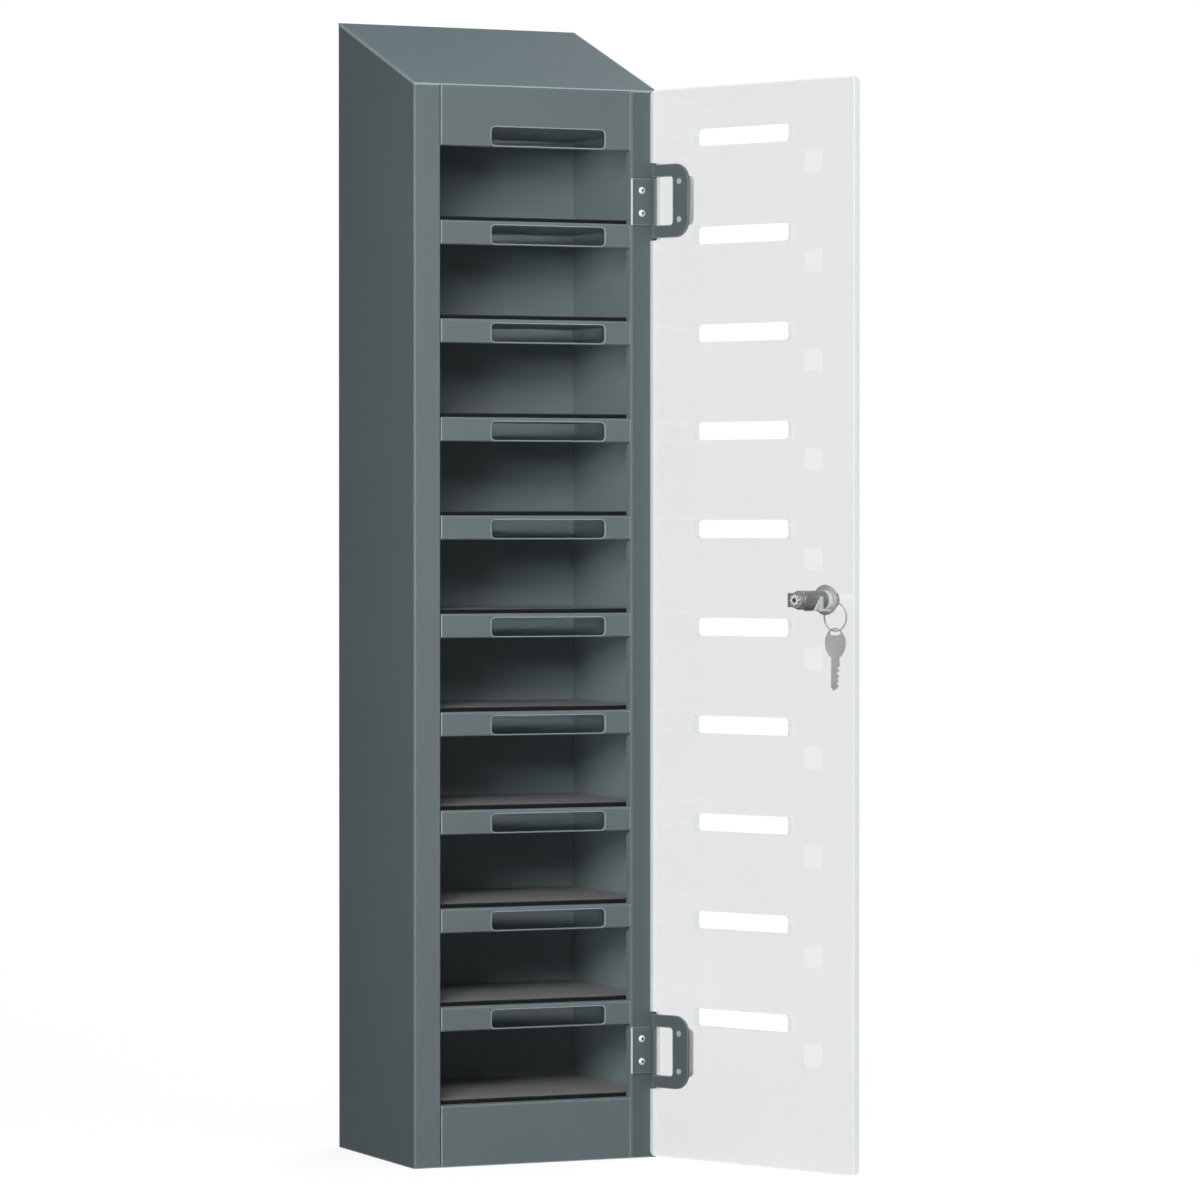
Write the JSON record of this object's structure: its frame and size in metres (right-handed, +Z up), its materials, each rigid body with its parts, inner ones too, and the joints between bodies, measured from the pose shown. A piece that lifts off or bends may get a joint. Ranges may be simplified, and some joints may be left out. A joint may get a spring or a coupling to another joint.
{
  "type": "phone charging kiosk",
  "caption": "Tall narrow sheet-steel phone locker with a sloping top, open matted compartments behind posting slots, and a hinged clear slotted door closed by a keyed cam lock.",
  "frame": {"origin": "centre of the cabinet's footprint at floor level", "axes": "+Z up, +Y towards the cabinet's back, +X towards the hinge side"},
  "size_m": [0.3315, 0.3962, 1.007],
  "materials": {
    "cabinet_paint": "satin powder coat",
    "hinge_paint": "satin powder coat",
    "rivet_alloy": "plain alloy",
    "pin_steel": "plain",
    "mat_rubber": "matt ribbed",
    "clear_acrylic": "polished clear",
    "label_plastic": "frosted",
    "clamp_steel": "brushed",
    "screw_steel": "plain",
    "lock_chrome": "polished",
    "clip_zinc": "bright zinc",
    "lock_brass": "polished",
    "cam_steel": "zinc plated",
    "washer_zinc": "zinc plated",
    "nut_zinc": "zinc plated",
    "key_nickel": "nickel plated",
    "ring_nickel": "nickel plated"
  },
  "bodies": {
    "cabinet": {"left_side_panel": "cabinet_paint", "right_side_panel": "cabinet_paint", "back_panel": "cabinet_paint", "roof_panel": "cabinet_paint", "header_panel": "cabinet_paint", "ceiling_panel": "cabinet_paint", "plinth_panel": "cabinet_paint", "base_panel": "cabinet_paint", "shelf_1": "cabinet_paint", "shelf_2": "cabinet_paint", "shelf_3": "cabinet_paint", "shelf_4": "cabinet_paint", "shelf_5": "cabinet_paint", "shelf_6": "cabinet_paint", "shelf_7": "cabinet_paint", "shelf_8": "cabinet_paint", "shelf_9": "cabinet_paint", "mat_1": "mat_rubber", "mat_2": "mat_rubber", "mat_3": "mat_rubber", "mat_4": "mat_rubber", "mat_5": "mat_rubber", "mat_6": "mat_rubber", "mat_7": "mat_rubber", "mat_8": "mat_rubber", "mat_9": "mat_rubber", "mat_10": "mat_rubber", "hinge_fixed_leaf_lower": "hinge_paint", "hinge_fixed_leaf_upper": "hinge_paint", "hinge_pin_lower": "pin_steel", "hinge_pin_upper": "pin_steel", "hinge_rivets": "rivet_alloy"},
    "door": {"door_panel": "clear_acrylic", "label_pockets": "label_plastic", "hinge_moving_leaf_lower": "hinge_paint", "hinge_moving_leaf_upper": "hinge_paint", "hinge_clamp_plate_lower": "clamp_steel", "hinge_clamp_plate_upper": "clamp_steel", "hinge_screws": "screw_steel", "lock_housing": "lock_chrome", "lock_clip": "clip_zinc"},
    "plug": {"lock_plug": "lock_brass", "lock_cam": "cam_steel", "lock_washer": "washer_zinc", "lock_nut": "nut_zinc"},
    "key": {"lock_key": "key_nickel"},
    "ring": {"key_ring": "ring_nickel"},
    "spare": {"spare_key": "key_nickel"}
  },
  "joints": [
    {"name": "door_hinge", "type": "hinge", "parent": "cabinet", "child": "door", "pos_m": [0.111, -0.0984, 0.47], "axis": [0, 0, 1], "range_deg": [-115, 60]},
    {"name": "lock_turn", "type": "hinge", "parent": "door", "child": "plug", "pos_m": [0.19613, -0.2689, 0.4935], "axis": [0.9063, 0.4226, 0], "range_deg": [0, 180]},
    {"name": "key_slide", "type": "slide", "parent": "plug", "child": "key", "axis": [0.9063, 0.4226, 0], "range_m": [0, 0.03]},
    {"name": "ring_swing", "type": "hinge", "parent": "key", "child": "ring", "pos_m": [0.20882, -0.26298, 0.4935], "axis": [0.4226, -0.9063, 0], "range_deg": [-3, 60]},
    {"name": "spare_swing", "type": "hinge", "parent": "ring", "child": "spare", "pos_m": [0.20882, -0.26298, 0.4788], "axis": [-0.9063, -0.4226, 0], "range_deg": [-20, 20]}
  ]
}
